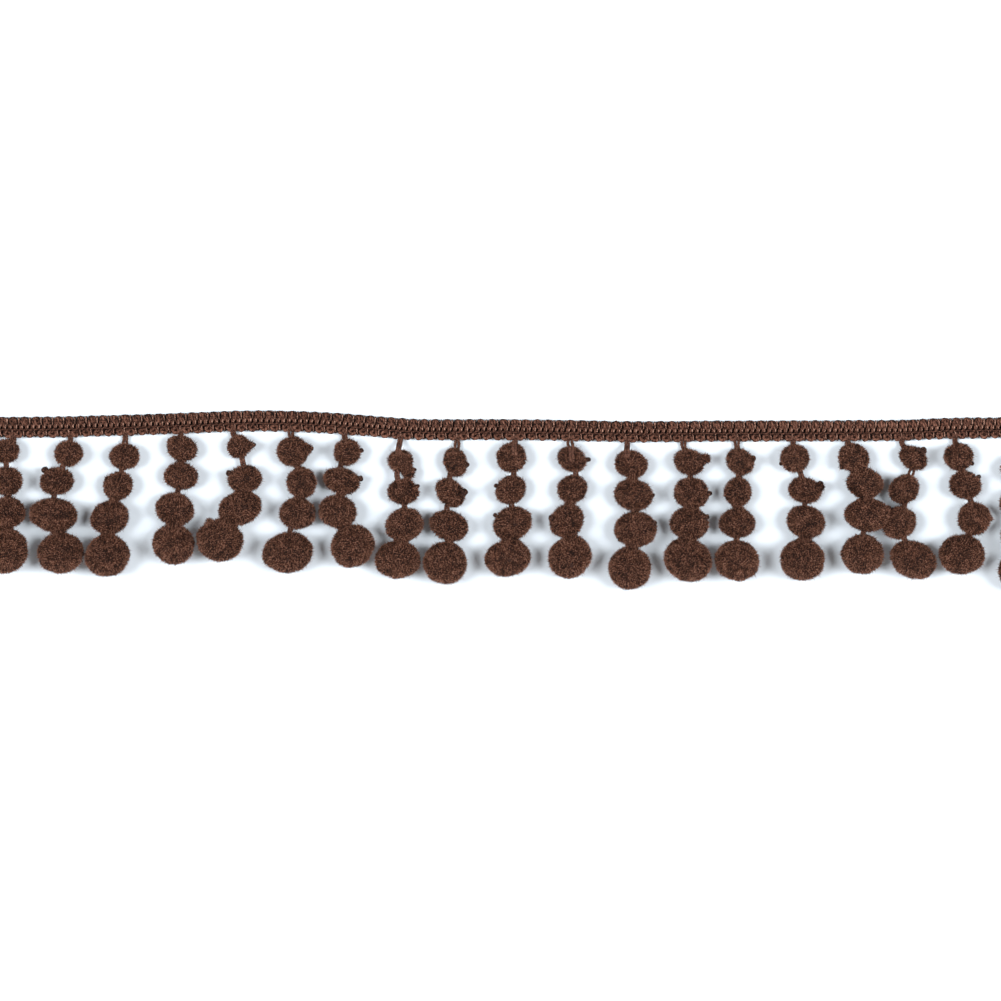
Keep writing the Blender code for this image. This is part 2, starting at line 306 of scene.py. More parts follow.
def yarn_tree():
    """Sweeps a round yarn of two plies along every spline, and keeps how each point lies around and along it."""
    tree = bpy.data.node_groups.new("lay yarn", "GeometryNodeTree")
    face = tree.interface
    face.new_socket("Paths", in_out="INPUT", socket_type="NodeSocketGeometry")
    for name, kind in (("Radius", "Float"), ("Step", "Float"), ("Sides", "Int"), ("Twist", "Float"),
                       ("Ply depth", "Float"), ("Material", "Material")):
        face.new_socket(name, in_out="INPUT", socket_type=f"NodeSocket{kind}")
    face.new_socket("Yarn", in_out="OUTPUT", socket_type="NodeSocketGeometry")
    given = tree.nodes.new("NodeGroupInput").outputs
    run = tree.nodes.new("GeometryNodeSplineParameter").outputs
    spot = tree.nodes.new("GeometryNodeInputPosition").outputs[0]

    def keep(geometry, name, kind, value):
        return step(tree, "GeometryNodeStoreNamedAttribute",
                    {"Geometry": geometry, "Name": name, "Value": value},
                    data_type=kind, domain="POINT").outputs[0]

    def kept(name, kind):
        return step(tree, "GeometryNodeInputNamedAttribute", {"Name": name}, data_type=kind).outputs[0]

    smooth = step(tree, "GeometryNodeCurveSplineType", {"Curve": given["Paths"]}, spline_type="CATMULL_ROM")
    even = step(tree, "GeometryNodeResampleCurve", {"Curve": smooth.outputs[0], "Length": given["Step"]},
                mode="LENGTH").outputs[0]
    path = keep(keep(even, "run", "FLOAT", run["Length"]), "core", "FLOAT_VECTOR", spot)
    circle = step(tree, "GeometryNodeCurvePrimitiveCircle",
                  {"Resolution": given["Sides"], "Radius": given["Radius"]})
    ring = keep(circle.outputs[0], "turn", "FLOAT", sums(tree, "MULTIPLY", run["Factor"], math.tau))
    thick = tree.nodes.new("GeometryNodeInputRadius").outputs[0]
    tube = step(tree, "GeometryNodeCurveToMesh", {"Curve": path, "Profile Curve": ring, "Scale": thick,
                                                  "Fill Caps": True}).outputs[0]
    angle = sums(tree, "MULTIPLY_ADD", kept("run", "FLOAT"), given["Twist"], kept("turn", "FLOAT"))
    lobes = sums(tree, "COSINE", sums(tree, "MULTIPLY", angle, 2.0))
    outward = vectors(tree, "SUBTRACT", spot, kept("core", "FLOAT_VECTOR"))
    offset = vectors(tree, "SCALE", outward, Scale=sums(tree, "MULTIPLY", lobes, given["Ply depth"]))
    swelled = step(tree, "GeometryNodeSetPosition", {"Geometry": tube, "Offset": offset}).outputs[0]
    lay = step(tree, "ShaderNodeCombineXYZ", {"X": sums(tree, "COSINE", angle), "Y": sums(tree, "SINE", angle),
                                              "Z": kept("run", "FLOAT")}).outputs[0]
    laid = keep(swelled, "lay", "FLOAT_VECTOR", lay)
    soft = step(tree, "GeometryNodeSetShadeSmooth", {"Geometry": laid}).outputs[0]
    real = step(tree, "GeometryNodeRealizeInstances", {"Geometry": soft}).outputs[0]
    done = step(tree, "GeometryNodeSetMaterial", {"Geometry": real, "Material": given["Material"]}).outputs[0]
    tree.links.new(done, tree.nodes.new("NodeGroupOutput").inputs[0])
    return tree


def grown(piece, tree, values):
    """Runs a node tree on an object and returns the plain mesh that comes out. The object is removed."""
    modifier = piece.modifiers.new("grow", "NODES")
    modifier.node_group = tree
    for socket in tree.interface.items_tree:
        if socket.in_out == "INPUT" and socket.name in values:
            modifier[socket.identifier] = values[socket.name]
    graph = bpy.context.evaluated_depsgraph_get()
    mesh = bpy.data.meshes.new_from_object(piece.evaluated_get(graph), depsgraph=graph)
    piece.modifiers.remove(modifier)
    bpy.data.objects.remove(piece)
    return mesh


YARN_TREE = yarn_tree()
Path = namedtuple("Path", "points thickness", defaults=(None,))


def laid_yarn(paths, radius, spacing, sides, twist, ply_depth, finish):
    """The mesh of a yarn laid along paths in millimetres. The twist is in turns over a centimetre."""
    curve = bpy.data.curves.new("paths", "CURVE")
    curve.dimensions = "3D"
    for path in paths:
        spline = curve.splines.new("POLY")
        spline.points.add(len(path.points) - 1)
        flat = [value for point in path.points for value in (*(point * MM), 1.0)]
        spline.points.foreach_set("co", flat)
        spline.points.foreach_set("radius", path.thickness or [1.0] * len(path.points))
    piece = bpy.data.objects.new("paths", curve)
    bpy.context.scene.collection.objects.link(piece)
    return grown(piece, YARN_TREE, {"Radius": radius * MM, "Step": spacing * MM, "Sides": sides,
                                    "Twist": twist * math.tau * 100, "Ply depth": ply_depth,
                                    "Material": finish})


def stitched(knots, radius, wander, seed, end=RIGHT_CUT):
    """The knots repeated at every stitch along the header, each a little off its place, clear of the table."""
    path = Path([], [])
    for k in range(math.floor(LEFT_CUT / PITCH) - 1, math.ceil(end / PITCH) + 2):
        for knot in knots:
            along = worked(FIRST_STITCH + k * PITCH + knot.along)
            if not LEFT_CUT + CUT_CLEAR < along < end - CUT_CLEAR:
                continue
            slip = noise.noise_vector(Vector((along * 0.9, knot.across * 0.7, seed))) * wander
            up = knot.up + slip.z
            if along < CREASE_END and knot.across > 0 and knot.thick == 1.0:
                up -= CREASE_DEPTH * math.exp(-(((knot.across - CREASE_PLACE) / CREASE_HALF) ** 2))
            height = max(up, radius * knot.thick + YARN_CLEAR)
            path.points.append(on_header(along + slip.x, knot.across + slip.y * 0.6, height))
            path.thickness.append(knot.thick)
    return path


def joined(name, meshes):
    """One mesh from several, which keeps their attributes and materials."""
    pieces = [show(f"{name}_part", mesh) for mesh in meshes]
    with bpy.context.temp_override(active_object=pieces[0], object=pieces[0], selected_objects=pieces,
                                   selected_editable_objects=pieces):
        bpy.ops.object.join()
    pieces[0].name = name
    pieces[0].data.name = name
    return pieces[0]


def along_yarn(tree):
    """A place that follows the yarn: around it with its twist, and along it in long streaks."""
    lay = step(tree, "ShaderNodeAttribute", {}, attribute_name="lay").outputs["Vector"]
    return vectors(tree, "MULTIPLY", lay, (1.0, 1.0, 620.0))


def ply_painted_light_and_shade(tree):
    """Painted light and shade: the tone rises on each ply's crown and falls in the groove between plies."""
    lay = step(tree, "ShaderNodeAttribute", {}, attribute_name="lay").outputs["Vector"]
    split = step(tree, "ShaderNodeSeparateXYZ", {0: lay}).outputs
    crown = sums(tree, "SUBTRACT", sums(tree, "MULTIPLY", split[0], split[0]),
                 sums(tree, "MULTIPLY", split[1], split[1]))
    return sums(tree, "MULTIPLY", crown, 0.24)


def depth_painted_shade(tree):
    """The plies' painted light and shade, and painted shade darker the deeper the yarn lies in the band."""
    height = step(tree, "ShaderNodeSeparateXYZ", {0: object_place(tree)}).outputs[2]
    depth = step(tree, "ShaderNodeMapRange", {"Value": height, "From Min": 0.8 * MM, "From Max": 3.0 * MM,
                                              "To Min": -0.6, "To Max": 0.18}).outputs[0]
    return sums(tree, "ADD", ply_painted_light_and_shade(tree), depth)


yarn_finish = fibre_finish("header yarn", (0.003, 0.001, 0.0005), (0.068, 0.0232, 0.0127), (0.235, 0.1, 0.064),
                           fine=1.9, broad=0.6, contrast=3.4, bump=0.7, place=along_yarn, lift=depth_painted_shade)
# A lighter copy of the header yarn for the thin strands: a painted highlight where they catch the light.
painted_highlight_finish = fibre_finish("header yarn painted highlight", (0.005, 0.0017, 0.001), (0.130, 0.051, 0.0315),
                             (0.62, 0.335, 0.235), fine=1.8, broad=0.8, contrast=3.6, bump=0.6,
                             place=along_yarn, lift=depth_painted_shade)
upper_loops = joined("header_upper_loops", (
    laid_yarn([stitched(UPPER_LOOP, radius=0.72, wander=0.3, seed=1.0)],
              radius=0.72, spacing=0.62, sides=8, twist=2.0, ply_depth=0.14, finish=yarn_finish),
    laid_yarn([stitched(UPPER_FILL, radius=0.64, wander=0.3, seed=2.0)],
              radius=0.64, spacing=0.7, sides=7, twist=2.0, ply_depth=0.14, finish=yarn_finish),
    laid_yarn([stitched(THIN_LOOP, radius=0.33, wander=0.25, seed=3.0)],
              radius=0.36, spacing=0.55, sides=5, twist=5.0, ply_depth=0.1, finish=painted_highlight_finish),
    laid_yarn([stitched(CREASE, radius=0.27, wander=0.25, seed=9.0, end=CREASE_END)],
              radius=0.27, spacing=0.6, sides=5, twist=5.0, ply_depth=0.1, finish=yarn_finish),
))
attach(upper_loops, "root")


# The header's chains
#
# Thin, tightly twisted yarns wind round the wefts along the band's middle, and lie as close, nearly upright
# strands with dark gaps between them, where real shadow and the ground's painted shade show. A third yarn
# runs straight along, just above the lower loops.

COIL_PITCH = PITCH / 2
COIL_KNOTS = 8


def coil(first, middle, half_width, low, high, lag, wander, seed):
    """The path of a yarn that winds over and under a line along the band. Its lag sets it upright on top."""
    path = Path([], [])
    turns = math.ceil((RIGHT_CUT - LEFT_CUT) / COIL_PITCH) + 2
    for k in range(-turns // 2 * COIL_KNOTS, turns // 2 * COIL_KNOTS):
        t = k / COIL_KNOTS
        phase = math.tau * t
        along = worked(first + COIL_PITCH * (t - lag * math.sin(phase)))
        if not LEFT_CUT + CUT_CLEAR < along < RIGHT_CUT - CUT_CLEAR:
            continue
        slip = noise.noise_vector(Vector((along * 0.8, middle, seed))) * wander
        across = middle + half_width * math.sin(phase)
        up = (low + high) / 2 + (high - low) / 2 * math.cos(phase)
        path.points.append(on_header(along + slip.x, across + slip.y, max(up + slip.z * 0.5, low)))
        path.thickness.append(1.0)
    return path


header_chain = joined("header_chain", (
    laid_yarn([coil(FIRST_STITCH + 0.8, middle=0.4, half_width=0.8, low=0.6, high=2.5, lag=0.155, wander=0.12,
                    seed=4.0)],
              radius=0.44, spacing=0.55, sides=6, twist=4.0, ply_depth=0.14, finish=yarn_finish),
    laid_yarn([coil(FIRST_STITCH + 1.62, middle=0.4, half_width=0.75, low=0.5, high=2.6, lag=0.155, wander=0.12,
                    seed=10.0)],
              radius=0.36, spacing=0.55, sides=5, twist=5.0, ply_depth=0.1, finish=painted_highlight_finish),
    laid_yarn([coil(FIRST_STITCH + 0.4, middle=-1.05, half_width=0.16, low=1.75, high=2.25, lag=0.0, wander=0.3,
                    seed=5.0)],
              radius=0.36, spacing=0.6, sides=5, twist=5.0, ply_depth=0.12, finish=yarn_finish),
))
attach(header_chain, "root")


# The header's lower loops
#
# Along the lower edge the yarn turns in open rings, half a stitch off the lumps of the upper edge. A fine yarn
# comes up between each two rings and catches the light, shown by its lighter colour, a painted highlight,
# and a chain under them closes the band's edge.

RING_WIDE = 1.25
RING_TALL = 1.2
RING_MIDDLE = -2.95
RING_KNOTS = 9
RING_SWELL = 0.2
RING_START = 120
RING_TURN = 330
RING_LOW = 1.1
RING_RISE = 1.2
BETWEEN_RINGS = (
    Knot(-0.7, -0.9, 1.3),
    Knot(-0.55, -2.0, 2.3),
    Knot(-0.35, -3.3, 2.2),
    Knot(-0.1, -4.25, 1.3),
    Knot(0.6, -3.0, 0.4, 0.7),
    Knot(2.6, -2.6, 0.4, 0.7),
    Knot(4.7, -2.0, 0.4, 0.7),
)


def ring_loop():
    """The knots of one open ring, from where it rises out of the band to where it dives under the next."""
    knots = []
    for k in range(RING_KNOTS):
        turn = math.radians(RING_START - RING_TURN * k / (RING_KNOTS - 1))
        share = k / (RING_KNOTS - 1)
        up = RING_LOW + RING_RISE * math.sin(math.pi * min(share * 1.15, 1.0) * 0.62)
        knots.append(Knot(PITCH / 2 + RING_WIDE * math.cos(turn), RING_MIDDLE + RING_TALL * math.sin(turn), up,
                          1.0 + RING_SWELL * max(-math.sin(turn), 0.0)))
    knots.append(Knot(PITCH / 2 + 2.2, RING_MIDDLE + 1.3, 0.8, 0.6))
    return knots


lower_loops = joined("header_lower_loops", (
    laid_yarn([stitched(ring_loop(), radius=0.68, wander=0.42, seed=6.0)],
              radius=0.68, spacing=0.5, sides=7, twist=3.5, ply_depth=0.14, finish=yarn_finish),
    laid_yarn([stitched(BETWEEN_RINGS, radius=0.28, wander=0.3, seed=8.0)],
              radius=0.28, spacing=0.55, sides=5, twist=5.0, ply_depth=0.1, finish=painted_highlight_finish),
    laid_yarn([coil(FIRST_STITCH, middle=-3.3, half_width=0.6, low=0.5, high=1.6, lag=0.13, wander=0.3,
                    seed=7.0)],
              radius=0.42, spacing=0.6, sides=5, twist=5.0, ply_depth=0.12, finish=yarn_finish),
))
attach(lower_loops, "root")


# The drops' threads
#
# Each drop hangs on two twisted cotton threads, worked over the face of the header's lower edge. They run
# through the pompoms' middles, over the first one's face on some drops, and show where pompoms lie apart.

Pompom = namedtuple("Pompom", "x y wide tall lean lift", defaults=(0.0, 0.0))
Drop = namedtuple("Drop", "root pompoms")
DROPS = (
    Drop(-220.0, (
        Pompom(-223.0, 22.3, 12.5, 11.5), Pompom(-222.3, 8.8, 14.4, 13.2),
        Pompom(-222.5, -5.4, 17.4, 14.2), Pompom(-222.8, -22.4, 20.4, 20.6),
    )),
    Drop(-194.4, (
        Pompom(-194.7, 21.2, 13.2, 12.0), Pompom(-200.0, 8.7, 15.8, 12.6, lean=8),
        Pompom(-201.3, -6.4, 21.8, 15.4, lean=-4), Pompom(-198.0, -23.6, 20.8, 18.6),
    )),
    Drop(-169.7, (
        Pompom(-169.5, 19.8, 14.0, 12.0), Pompom(-172.4, 6.6, 14.2, 12.8, lean=35),
        Pompom(-175.9, -7.7, 18.0, 15.2, lean=18), Pompom(-177.0, -24.7, 20.4, 19.0, lean=30),
    )),
    Drop(-144.7, (
        Pompom(-143.7, 23.7, 14.4, 11.8, lean=-22), Pompom(-144.0, 11.0, 15.8, 12.4, lean=-6),
        Pompom(-146.7, -3.9, 17.6, 15.0, lean=-14), Pompom(-147.2, -19.6, 19.2, 18.0, lean=-25),
    )),
    Drop(-120.9, (
        Pompom(-118.0, 24.2, 10.6, 11.0, lean=-20), Pompom(-115.2, 9.8, 16.0, 12.6, lean=10),
        Pompom(-117.4, -3.4, 20.0, 15.2, lean=16), Pompom(-126.3, -17.8, 21.2, 19.2, lean=-10),
    )),
    Drop(-94.6, (
        Pompom(-93.7, 22.1, 14.6, 13.6), Pompom(-89.6, 8.1, 13.8, 14.4),
        Pompom(-91.5, -5.8, 16.8, 14.2), Pompom(-95.7, -23.4, 22.8, 18.4, lean=12),
    )),
    Drop(-70.1, (
        Pompom(-69.1, 21.8, 12.4, 12.4), Pompom(-71.6, 8.9, 17.2, 12.0, lean=-14),
        Pompom(-73.4, -5.0, 17.4, 15.2, lean=-16), Pompom(-66.5, -20.5, 20.4, 18.4, lean=35),
    )),
    Drop(-45.0, (
        Pompom(-45.0, 17.8, 11.8, 11.0), Pompom(-43.9, 3.9, 14.8, 11.6, lean=-4),
        Pompom(-43.3, -10.8, 17.6, 15.2, lean=24), Pompom(-46.3, -26.6, 20.6, 17.2),
    )),
    Drop(-19.6, (
        Pompom(-20.4, 17.2, 10.8, 14.0, lean=15), Pompom(-22.6, 3.5, 14.8, 11.8, lean=-42),
        Pompom(-23.2, -11.3, 18.0, 13.8, lean=-18), Pompom(-24.9, -28.1, 19.8, 19.2),
    )),
    Drop(6.6, (
        Pompom(4.9, 19.3, 13.6, 13.8), Pompom(4.6, 4.8, 14.6, 12.8, lean=35),
        Pompom(5.3, -10.3, 18.0, 15.0, lean=22), Pompom(3.3, -25.8, 21.0, 16.6, lean=12),
    )),
    Drop(31.5, (
        Pompom(32.2, 18.6, 14.2, 11.4, lean=-32), Pompom(32.4, 5.3, 14.0, 12.8, lean=20),
        Pompom(29.8, -9.2, 16.8, 14.4, lean=42), Pompom(31.2, -25.3, 20.4, 18.4, lean=38),
    )),
    Drop(57.3, (
        Pompom(58.9, 16.4, 15.6, 12.6, lean=-16), Pompom(59.8, 2.5, 18.0, 14.2, lean=-10),
        Pompom(60.9, -13.0, 19.4, 16.0), Pompom(58.1, -30.4, 19.2, 19.4),
    )),
    Drop(82.6, (
        Pompom(85.1, 17.3, 14.6, 12.0, lean=-22), Pompom(86.0, 3.3, 16.0, 14.4, lean=-12),
        Pompom(85.0, -10.4, 17.8, 15.2, lean=-8), Pompom(84.4, -26.8, 22.0, 19.2, lean=-22),
    )),
    Drop(106.8, (
        Pompom(108.0, 17.6, 13.8, 11.6, lean=-40), Pompom(107.0, 3.7, 12.8, 13.6),
        Pompom(106.6, -10.2, 17.0, 13.9), Pompom(106.5, -27.0, 20.4, 18.4, lean=-15),
    )),
    Drop(132.2, (
        Pompom(132.6, 19.0, 13.4, 13.0), Pompom(137.2, 4.7, 15.8, 11.8, lean=-16),
        Pompom(137.6, -9.6, 17.8, 14.8, lean=-20), Pompom(135.9, -26.5, 20.4, 19.0),
    )),
    Drop(156.9, (
        Pompom(159.3, 19.2, 14.6, 13.2, lean=-30), Pompom(164.2, 7.7, 16.8, 13.8, lean=-12),
        Pompom(165.0, -6.4, 20.8, 15.2, lean=-4, lift=3.0), Pompom(162.8, -24.2, 19.0, 18.2),
    )),
    Drop(181.3, (
        Pompom(186.1, 19.1, 14.0, 10.6, lean=-32), Pompom(181.9, 5.1, 14.2, 13.0, lean=40),
        Pompom(179.5, -10.0, 16.0, 14.8, lean=30), Pompom(185.8, -26.6, 21.6, 16.8, lean=-24),
    )),
    Drop(205.3, (
        Pompom(206.5, 19.7, 13.4, 12.6), Pompom(209.5, 6.9, 15.0, 12.8, lean=-10),
        Pompom(213.3, -8.0, 15.0, 15.0), Pompom(207.6, -24.3, 20.8, 18.0),
    )),
    Drop(230.5, (
        Pompom(232.2, 14.5, 13.0, 12.5), Pompom(232.1, -1.5, 14.8, 13.0),
        Pompom(233.9, -15.5, 17.5, 15.0), Pompom(233.9, -31.8, 19.6, 18.4),
    )),
)
HEIGHT_SHARE = 0.93
SINK_SHARE = 0.075
THREAD_HOLD = ((-2.3, 1.3), (-3.2, 2.3), (-4.4, 2.4), (-5.9, 1.4))
THREAD_UP = 2.6
THREAD_APART = 0.66
THREAD_TURN = 9.0
THREAD_SWAY = 0.5
THREAD_POINT_EVERY = 0.9
Eye = namedtuple("Eye", "drop y apart")
OPEN_EYES = [Eye(*row) for row in (
    (3, 24.8, 0.42), (6, 30.6, 0.3), (9, 25.2, 0.28), (11, 25.6, 0.45), (13, 26.5, 0.2), (14, 26.2, 0.22),
    (17, 12.6, 0.35),
)]
EYE_HALF = 1.3
Bend = namedtuple("Bend", "drop after x y up", defaults=(3.4,))
THREAD_BENDS = [Bend(*row) for row in (
    (4, 1, -144.5, 17.0), (4, 2, -145.6, 4.3), (5, 1, -116.2, 16.8), (6, 3, -94.8, -13.0),
    (7, 1, -72.2, 15.6), (8, 1, -46.6, 11.3, 7.0), (9, 1, -22.9, 11.0), (9, 2, -24.2, -3.5),
    (10, 1, 6.0, 11.8, 7.0), (11, 1, 33.9, 12.5, 7.0), (13, 1, 85.6, 11.3), (13, 2, 85.5, -2.8),
    (14, 1, 107.5, 11.5), (14, 2, 108.0, -3.5), (15, 1, 135.5, 12.0), (15, 2, 137.3, -1.5),
    (16, 3, 163.8, -14.0), (17, 1, 185.6, 13.0), (17, 2, 182.3, -2.5),
)]

Crossing = namedtuple("Crossing", "drop x y")
CROSSINGS = [Crossing(*row) for row in (
    (8, -45.9, 21.0), (10, 6.2, 20.6), (11, 31.9, 17.8), (12, 56.9, 19.4),
)]


def half_sizes(pompom):
    """Half of a pompom's width, height as it lies, and thickness off the table."""
    thick = HEIGHT_SHARE * min(pompom.wide, pompom.tall)
    return Vector((pompom.wide, pompom.tall, thick)) / 2


def middle(pompom):
    """A pompom's centre: it rests on the table and sinks in a little where it touches."""
    return Vector((pompom.x, pompom.y, half_sizes(pompom).z * (1 - SINK_SHARE) + pompom.lift))


def face_height(pompom, x, y):
    """How high a pompom's pile stands at a place, or its middle beyond its edge."""
    half = half_sizes(pompom)
    off = ((x - pompom.x) / half.x) ** 2 + ((y - pompom.y) / half.y) ** 2
    return middle(pompom).z + half.z * math.sqrt(max(1 - off, 0.0))


def rounded(corners, spacing):
    """Even points on a smooth curve through the corners."""
    points = []
    for i in range(len(corners) - 1):
        a = corners[max(i - 1, 0)]
        b = corners[i]
        c = corners[i + 1]
        d = corners[min(i + 2, len(corners) - 1)]
        count = max(round((c - b).length / spacing), 1)
        for k in range(count):
            t = k / count
            points.append(0.5 * (2 * b + (c - a) * t + (2 * a - 5 * b + 4 * c - d) * t**2
                                 + (3 * b - a - 3 * c + d) * t**3))
    points.append(corners[-1])
    return points


def thread_corners(number, drop):
    """Where the drop's cord goes: over the header's lower edge, and from pompom to pompom."""
    corners = [on_header(drop.root, across, up) for across, up in THREAD_HOLD]
    first = drop.pompoms[0]
    top = Vector((drop.root * 0.75 + first.x * 0.25, first.y + first.tall / 2 - 0.5, THREAD_UP))
    crossing = [c for c in CROSSINGS if c.drop == number]
    if crossing:
        x, y = crossing[0][1:]
        half_way = (y + top.y) / 2
        corners[-1].z = THREAD_UP
        corners.append(Vector((x, top.y + 0.4, face_height(first, x, top.y) + 0.3)))
        corners.append(Vector((x, half_way, face_height(first, x, half_way) + 0.1)))
        corners.append(Vector((x, y, face_height(first, x, y) - 0.8)))
    else:
        corners.append(top)
    for i, pompom in enumerate(drop.pompoms):
        corners.append(middle(pompom))
        bend = [b for b in THREAD_BENDS if b.drop == number and b.after == i + 1]
        if bend:
            corners.append(Vector(bend[0][2:]))
    return corners


def twisted_pair(number, drop):
    """The two threads of a drop, wound round each other."""
    line = rounded(thread_corners(number, drop), THREAD_POINT_EVERY)
    strands = ([], [])
    run = 0.0
    for i, point in enumerate(line):
        ahead = (line[min(i + 1, len(line) - 1)] - line[max(i - 1, 0)]).normalized()
        run += (point - line[max(i - 1, 0)]).length
        side = Vector((-ahead.y, ahead.x, 0.0)).normalized()
        over = side.cross(ahead)
        turn = THREAD_SWAY * math.sin(math.tau * run / THREAD_TURN + number)
        apart = THREAD_APART
        for eye in OPEN_EYES:
            if eye.drop == number:
                apart += eye.apart * math.exp(-(((point.y - eye.y) / EYE_HALF) ** 2))
        for strand, way in zip(strands, (1, -1)):
            strand.append(point + (side * math.cos(turn) + over * math.sin(turn) * 0.8) * apart * way)
    return [Path(strand) for strand in strands]


thread_finish = fibre_finish("drop thread", (0.004, 0.0013, 0.0007), (0.072, 0.0255, 0.0145),
                             (0.29, 0.132, 0.086), fine=1.9, broad=0.8, contrast=3.6, bump=0.7,
                             place=along_yarn, lift=ply_painted_light_and_shade)
pairs = [path for number, drop in enumerate(DROPS, 1) for path in twisted_pair(number, drop)]
threads = show("drop_threads", laid_yarn(pairs, radius=0.67, spacing=0.62, sides=6, twist=4.0, ply_depth=0.2,
                                         finish=thread_finish))
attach(threads, "root")


# The pompoms
#
# Each is a bundle of acrylic yarn, tied round its middle, cut and trimmed to a dense ball on its drop's threads.
# The pile stands out from a firm heart, and is flattened where the ball rests or presses on a neighbour. Some
# keep a loose tuft at the side.

PILE_DEPTH = 0.5
PIECE_GAP = 0.3
NEIGHBOUR_REACH = 1.6
FLOOR_CLEAR = 0.15
LOOSENESS = 0.5
LOOSE_SIZE = 2.4
SWELL_SHARE = 0.06
SWELL_SIZE = 5.2
Tuft = namedtuple("Tuft", "drop ball x y size tied", defaults=(True,))
TUFTS = [Tuft(*row) for row in (
    (2, 2, -205.3, 13.6, 3.5), (3, 2, -177.9, 10.4, 2.4, False), (4, 2, -136.9, 11.8, 2.2),
    (5, 1, -112.8, 24.8, 4.4, False), (5, 1, -111.4, 25.2, 2.4), (5, 2, -122.4, 12.3, 3.0),
    (5, 2, -113.3, 10.2, 1.6), (5, 3, -114.5, -3.2, 1.6), (5, 4, -131.2, -9.2, 3.4, False),
    (6, 1, -86.8, 23.2, 5.2, False), (6, 1, -85.2, 23.5, 2.2), (6, 3, -84.4, -4.8, 2.8),
    (6, 4, -95.1, -26.7, 1.6), (7, 1, -62.7, 22.6, 2.4), (7, 2, -63.2, 9.9, 2.9),
    (8, 1, -41.6, 12.8, 6.6, False), (8, 1, -38.6, 13.9, 1.7), (8, 2, -37.3, 6.4, 2.2),
    (9, 1, -15.3, 16.2, 2.8), (9, 2, -16.4, 3.8, 3.5), (10, 2, -2.0, 6.6, 2.2), (10, 3, -2.3, -6.6, 2.2),
    (10, 3, 6.5, -10.7, 1.5), (10, 4, 3.9, -26.8, 1.7), (11, 1, 39.6, 18.4, 2.4), (11, 3, 22.8, -7.7, 2.6),
    (11, 4, 31.8, -29.0, 1.8), (12, 2, 68.6, 2.4, 1.9), (12, 3, 69.1, -10.3, 2.8),
    (13, 1, 92.4, 18.8, 5.2, False), (13, 1, 89.4, 20.0, 1.8), (13, 2, 94.2, 3.2, 2.4),
    (13, 3, 92.8, -7.4, 2.6), (14, 1, 112.9, 18.4, 3.6, False), (14, 1, 113.6, 18.9, 3.0),
    (15, 1, 126.4, 16.6, 2.0), (15, 2, 144.6, 6.0, 4.0, False), (15, 2, 144.2, 7.6, 2.8),
    (16, 1, 153.8, 15.2, 3.6, False), (16, 3, 174.6, -3.4, 2.4), (17, 1, 190.4, 22.6, 3.4),
    (17, 1, 188.0, 23.0, 2.4), (18, 1, 212.6, 16.6, 2.0), (18, 2, 215.5, 10.7, 2.2),
    (18, 3, 220.9, -7.8, 2.8, False),
)]
LUMP_PILE = 0.4
LUMP_UNEVEN = 0.25
LUMP_GRAIN = 1.6
FACE_RISE = 0.4
HEART_CELL = 0.95
TUFT_SPACING = 0.46
TUFT_WIDTH = 0.62
TUFT_LENGTH = 1.6
TUFT_SINK = 0.5
TUFT_LEAN = 0.7
CLUMPS = 850.0
BUNCHES = 620.0
PARTINGS = 230.0
PILE_FLOOR = 0.1
STRAY_SPACING = 1.1
STRAY_WIDTH = 0.26
STRAY_LENGTH = 2.6


def reach_towards(pompom, direction):
    """How far a pompom reaches from its centre in one direction."""
    turned = Matrix.Rotation(-math.radians(pompom.lean), 3, "Z") @ direction
    return Vector(a * b for a, b in zip(half_sizes(pompom), turned)).length


def pressed_planes(pompom, drop):
    """Where a pompom meets those of other drops: a point and the direction that it can't pass."""
    planes = []
    for other_drop in DROPS:
        if other_drop is drop:
            continue
        for other in other_drop.pompoms:
            between = middle(other) - middle(pompom)
            direction = between.normalized()
            own = reach_towards(pompom, direction)
            theirs = reach_towards(other, direction)
            room = between.length - own - theirs
            if room < NEIGHBOUR_REACH:
                limit = own + room / 2 - PIECE_GAP / 2 - PILE_DEPTH
                planes.append((middle(pompom) + direction * limit, direction))
    return planes


def heart_points(pompom, drop, directions):
    """The firm ball under the pile: uneven, and pressed where it touches."""
    half = half_sizes(pompom) - Vector((PILE_DEPTH,) * 3)
    lean = Matrix.Rotation(math.radians(pompom.lean), 3, "Z")
    centre = middle(pompom)
    planes = pressed_planes(pompom, drop)
    points = []
    for way in directions:
        turned = lean.inverted() @ way
        offset = lean @ Vector(a * b for a, b in zip(half, turned))
        place = centre + offset
        lumps = (SWELL_SHARE * noise.noise(place / SWELL_SIZE)
                 + LOOSENESS / half.x * noise.noise(place / LOOSE_SIZE))
        place += offset * lumps
        for point, direction in planes:
            past = (place - point).dot(direction)
            if past > 0:
                place -= direction * past
        place.z = max(place.z, FLOOR_CLEAR)
        points.append(place * MM)
    return points


def add_ball(bm, points_for, subdivisions):
    """Adds a ball whose points are placed by the function handed in."""
    made = bmesh.ops.create_icosphere(bm, subdivisions=subdivisions, radius=1.0)["verts"]
    for vert, place in zip(made, points_for([vert.co.copy() for vert in made])):
        vert.co = place


def tuft_middle(tuft):
    """The centre of a loose tuft or knot: at its pompom's edge, or out on its face."""
    pompom = DROPS[tuft.drop - 1].pompoms[tuft.ball - 1]
    up = face_height(pompom, tuft.x, tuft.y) - middle(pompom).z
    rise = 1 + FACE_RISE * tuft.size / half_sizes(pompom).z
    return Vector((tuft.x, tuft.y, middle(pompom).z + up * rise))


def lump_points(tuft, directions):
    """A loose tuft that hangs out at the side, as a small uneven ball."""
    radius = tuft.size / 2 - LUMP_PILE
    centre = tuft_middle(tuft)
    return [(centre + way * radius * (1 + LUMP_UNEVEN * noise.noise((centre + way * radius) / LUMP_GRAIN))) * MM
            for way in directions]


